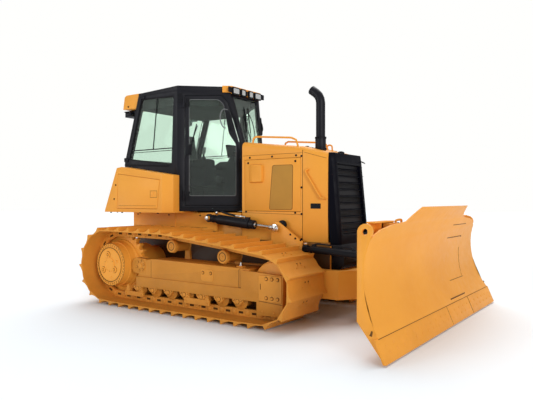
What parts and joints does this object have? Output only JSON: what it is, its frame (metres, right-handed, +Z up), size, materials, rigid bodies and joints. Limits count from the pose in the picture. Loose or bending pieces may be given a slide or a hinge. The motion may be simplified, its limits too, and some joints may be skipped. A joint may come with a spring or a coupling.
{
  "type": "bulldozer",
  "caption": "Crawler bulldozer with a closed cab, wide track shoes and a blade that lifts, angles and tilts; doors on cab, engine bay and side boxes open.",
  "frame": {"origin": "on the ground under the middle of the whole length, halfway between the two tracks", "axes": "+X forward towards the blade, +Y to the left of the machine, +Z up"},
  "size_m": [4.865, 3.682, 2.96],
  "materials": {
    "machine_yellow": "gloss paint",
    "machine_black": "satin paint",
    "track_yellow": "paint, worn on the grousers",
    "edge_yellow": "paint on hard steel",
    "rod_chrome": "polished",
    "cab_glass": "greenish clear glass",
    "engine_iron": "dull",
    "seat_cover": "woven",
    "cab_plastic": "matt"
  },
  "bodies": {
    "angle_pitch_body_left": {"angle_barrel_left": "machine_black"},
    "angle_pitch_body_right": {"angle_barrel_right": "machine_black"},
    "angle_yaw_body_left": {"angle_block_left": "machine_black"},
    "angle_yaw_body_right": {"angle_block_right": "machine_black"},
    "angle_rod_body_left": {"angle_rod_left": "rod_chrome"},
    "angle_rod_body_right": {"angle_rod_right": "rod_chrome"},
    "blade_assembly": {"blade": "machine_yellow", "blade_frame": "machine_yellow", "cutting_edge": "edge_yellow"},
    "box_door_body_left": {"box_door_left": "machine_yellow"},
    "box_door_body_right": {"box_door_right": "machine_yellow"},
    "push_frame": {"c_frame": "machine_yellow"},
    "cab_door_body_left": {"cab_door_left": "machine_black", "door_glass_left": "cab_glass"},
    "cab_door_body_right": {"cab_door_right": "machine_black", "door_glass_right": "cab_glass"},
    "machine_body": {"cab_frame": "machine_black", "cab_roof": "machine_black", "dashboard": "cab_plastic", "engine_block": "engine_iron", "exhaust_stack": "machine_black", "final_drive_left": "machine_yellow", "final_drive_right": "machine_yellow", "front_lamps_left": "machine_yellow", "front_lamps_right": "machine_yellow", "fuel_tank": "machine_yellow", "hood": "machine_yellow", "idler_left": "machine_yellow", "idler_right": "machine_yellow", "main_frame": "machine_yellow", "nose_beam": "machine_black", "radiator_guard": "machine_black", "rear_box_left": "machine_yellow", "rear_box_right": "machine_yellow", "rear_fairing": "machine_yellow", "rear_glass": "cab_glass", "rear_lamp_left": "machine_black", "rear_lamp_right": "machine_black", "seat": "seat_cover", "seat_base": "cab_plastic", "side_glass_left": "cab_glass", "side_glass_right": "cab_glass", "side_plate_left": "machine_yellow", "side_plate_right": "machine_yellow", "track_frame_left": "machine_yellow", "track_frame_right": "machine_yellow", "track_left": "track_yellow", "track_right": "track_yellow", "windscreen": "cab_glass"},
    "engine_door_body_left": {"engine_door_left": "machine_yellow"},
    "engine_door_body_right": {"engine_door_right": "machine_yellow"},
    "lift_cylinder_body_left": {"lift_barrel_left": "machine_black"},
    "lift_cylinder_body_right": {"lift_barrel_right": "machine_black"},
    "lift_rod_body_left": {"lift_rod_left": "rod_chrome"},
    "lift_rod_body_right": {"lift_rod_right": "rod_chrome"},
    "blade_mast": {"pivot_mast": "machine_yellow"},
    "tilt_cylinder_body": {"tilt_barrel": "machine_black"},
    "tilt_rod_body": {"tilt_rod": "rod_chrome"}
  },
  "joints": [
    {"name": "lift", "type": "hinge", "parent": "machine_body", "child": "push_frame", "pos_m": [-0.3825, 0, 0.5], "axis": [0, -1, 0], "range_deg": [-9.4, 17.6]},
    {"name": "angle", "type": "hinge", "parent": "push_frame", "child": "blade_mast", "pos_m": [1.6875, 0, 0.42], "axis": [0, 0, 1], "range_deg": [-25, 25]},
    {"name": "tilt", "type": "hinge", "parent": "blade_mast", "child": "blade_assembly", "pos_m": [1.6875, 0, 0.42], "axis": [1, 0, 0], "range_deg": [-7.2, 7.2]},
    {"name": "cab_door_right", "type": "hinge", "parent": "machine_body", "child": "cab_door_body_right", "pos_m": [-0.96042, -0.71944, 2], "axis": [0, 0, -1], "range_deg": [0, 110]},
    {"name": "cab_door_left", "type": "hinge", "parent": "machine_body", "child": "cab_door_body_left", "pos_m": [-0.96042, 0.71944, 2], "axis": [0, 0, 1], "range_deg": [0, 110]},
    {"name": "engine_door_right", "type": "hinge", "parent": "machine_body", "child": "engine_door_body_right", "pos_m": [0.7275, -0.44, 1.6], "axis": [0, 0, 1], "range_deg": [0, 85]},
    {"name": "engine_door_left", "type": "hinge", "parent": "machine_body", "child": "engine_door_body_left", "pos_m": [0.7275, 0.44, 1.6], "axis": [0, 0, -1], "range_deg": [0, 85]},
    {"name": "box_door_right", "type": "hinge", "parent": "machine_body", "child": "box_door_body_right", "pos_m": [-2.0285, -0.973, 1.5], "axis": [0, 0, -1], "range_deg": [0, 95]},
    {"name": "box_door_left", "type": "hinge", "parent": "machine_body", "child": "box_door_body_left", "pos_m": [-2.0285, 0.973, 1.5], "axis": [0, 0, 1], "range_deg": [0, 95]},
    {"name": "lift_cylinder_right", "type": "hinge", "parent": "machine_body", "child": "lift_cylinder_body_right", "pos_m": [-0.6475, -0.5525, 1.165], "axis": [0, -1, 0], "range_deg": [-6.79, 12.7]},
    {"name": "lift_rod_right", "type": "slide", "parent": "lift_cylinder_body_right", "child": "lift_rod_body_right", "axis": [0.9954, 0, -0.0954], "range_m": [-0.1999, 0.1069]},
    {"name": "angle_yaw_right", "type": "hinge", "parent": "push_frame", "child": "angle_yaw_body_right", "pos_m": [0.8475, -0.525, 0.83], "axis": [0, 0, 1], "range_deg": [-7.02, 7.02]},
    {"name": "angle_pitch_right", "type": "hinge", "parent": "angle_yaw_body_right", "child": "angle_pitch_body_right", "pos_m": [0.8475, -0.525, 0.83], "axis": [-0.0214, -0.9998, 0], "range_deg": [-3.37, 3.37]},
    {"name": "angle_rod_right", "type": "slide", "parent": "angle_pitch_body_right", "child": "angle_rod_body_right", "axis": [0.998, -0.0213, -0.0597], "range_m": [-0.2337, 0.2337]},
    {"name": "lift_cylinder_left", "type": "hinge", "parent": "machine_body", "child": "lift_cylinder_body_left", "pos_m": [-0.6475, 0.5525, 1.165], "axis": [0, -1, 0], "range_deg": [-6.79, 12.7]},
    {"name": "lift_rod_left", "type": "slide", "parent": "lift_cylinder_body_left", "child": "lift_rod_body_left", "axis": [0.9954, 0, -0.0954], "range_m": [-0.1999, 0.1069]},
    {"name": "angle_yaw_left", "type": "hinge", "parent": "push_frame", "child": "angle_yaw_body_left", "pos_m": [0.8475, 0.525, 0.83], "axis": [0, 0, 1], "range_deg": [-7.02, 7.02]},
    {"name": "angle_pitch_left", "type": "hinge", "parent": "angle_yaw_body_left", "child": "angle_pitch_body_left", "pos_m": [0.8475, 0.525, 0.83], "axis": [0.0214, -0.9998, 0], "range_deg": [-3.37, 3.37]},
    {"name": "angle_rod_left", "type": "slide", "parent": "angle_pitch_body_left", "child": "angle_rod_body_left", "axis": [0.998, 0.0213, -0.0597], "range_m": [-0.2337, 0.2337]},
    {"name": "tilt_cylinder", "type": "hinge", "parent": "blade_mast", "child": "tilt_cylinder_body", "pos_m": [1.9425, -0.04, 0.96], "axis": [1, 0, 0], "range_deg": [-6.99, 6.99]},
    {"name": "tilt_rod", "type": "slide", "parent": "tilt_cylinder_body", "child": "tilt_rod_body", "axis": [0, 0.9995, 0.0303], "range_m": [-0.0681, 0.0681]}
  ],
  "couplings": [
    {"joint": "lift_cylinder_right", "follows": "lift", "ratio": 0.72069},
    {"joint": "lift_rod_right", "follows": "lift", "m_per_rad": -0.65003},
    {"joint": "angle_yaw_right", "follows": "angle", "ratio": 0.28002},
    {"joint": "angle_pitch_right", "follows": "tilt", "ratio": -0.46652},
    {"joint": "angle_rod_right", "follows": "angle", "m_per_rad": 0.53512},
    {"joint": "lift_cylinder_left", "follows": "lift", "ratio": 0.72069},
    {"joint": "lift_rod_left", "follows": "lift", "m_per_rad": -0.65003},
    {"joint": "angle_yaw_left", "follows": "angle", "ratio": 0.28002},
    {"joint": "angle_pitch_left", "follows": "tilt", "ratio": 0.46652},
    {"joint": "angle_rod_left", "follows": "angle", "m_per_rad": -0.53512},
    {"joint": "tilt_cylinder", "follows": "tilt", "ratio": 0.96926},
    {"joint": "tilt_rod", "follows": "tilt", "m_per_rad": -0.53968}
  ]
}
